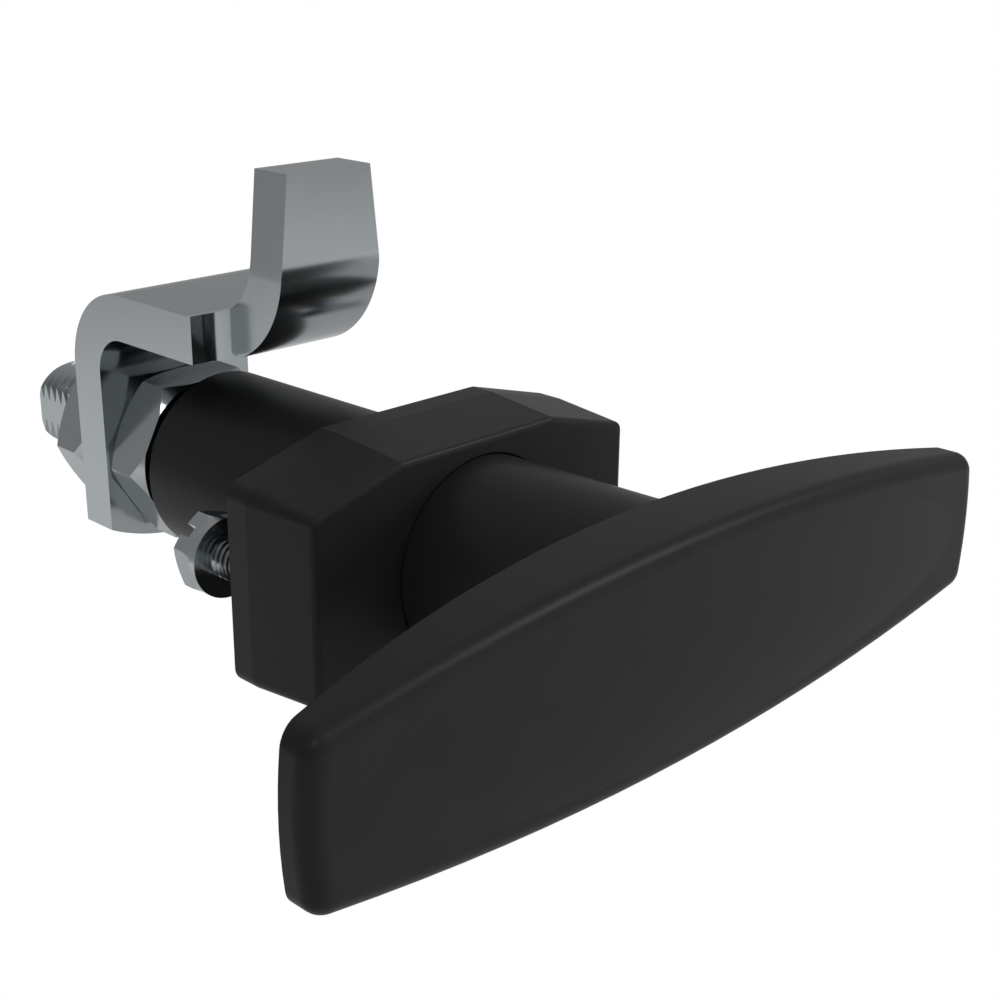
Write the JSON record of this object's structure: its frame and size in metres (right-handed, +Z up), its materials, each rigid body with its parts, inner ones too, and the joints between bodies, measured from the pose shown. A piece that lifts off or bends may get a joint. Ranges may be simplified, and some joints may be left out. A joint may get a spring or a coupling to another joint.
{
  "type": "compression latch",
  "caption": "T-handle compression latch: turning the handle swings a bent cam behind the panel, then draws it in to clamp.",
  "frame": {"origin": "where the spindle's axis meets the back face of the flange, which is the panel's outer face", "axes": "+X along the handle, +Y through the panel into the cabinet, +Z up, the way the cam points when latched"},
  "size_m": [0.0832, 0.0962, 0.045],
  "materials": {
    "black_polyamide": "fine satin moulded",
    "plated_steel": "bright zinc plated",
    "spring_steel": "oiled spring steel",
    "brass_insert": "turned",
    "acetal": "smooth",
    "seal_rubber": "matte"
  },
  "bodies": {
    "root": {"housing": "black_polyamide", "panel_gasket": "seal_rubber", "threaded_inserts": "brass_insert", "fixing_screws": "plated_steel", "stem_seal": "seal_rubber", "wear_washer": "acetal", "stop_bush": "black_polyamide", "barrel_ring": "spring_steel"},
    "carrier": {"guide_sleeve": "plated_steel", "thrust_washer": "plated_steel"},
    "handle": {"handle": "black_polyamide", "drive_sleeve": "plated_steel", "drive_clip": "spring_steel", "handle_set_screw": "spring_steel"},
    "spindle": {"spindle": "plated_steel", "cross_pin": "plated_steel", "adjusting_nut": "plated_steel", "cam": "plated_steel", "lock_nut": "plated_steel", "return_spring": "spring_steel"}
  },
  "joints": [
    {"name": "quarter_turn", "type": "hinge", "parent": "root", "child": "carrier", "pos_m": [0, 0, 0], "axis": [0, -1, 0], "range_deg": [0, 90]},
    {"name": "compress_turn", "type": "hinge", "parent": "carrier", "child": "handle", "pos_m": [0, 0, 0], "axis": [0, -1, 0], "range_deg": [0, 90]},
    {"name": "cam_pull", "type": "slide", "parent": "carrier", "child": "spindle", "axis": [0, 1, 0], "range_m": [0, 0.006], "deforming": ["return_spring"]}
  ],
  "couplings": [
    {"joint": "compress_turn", "follows": "cam_pull", "rad_per_m": 261.8}
  ]
}
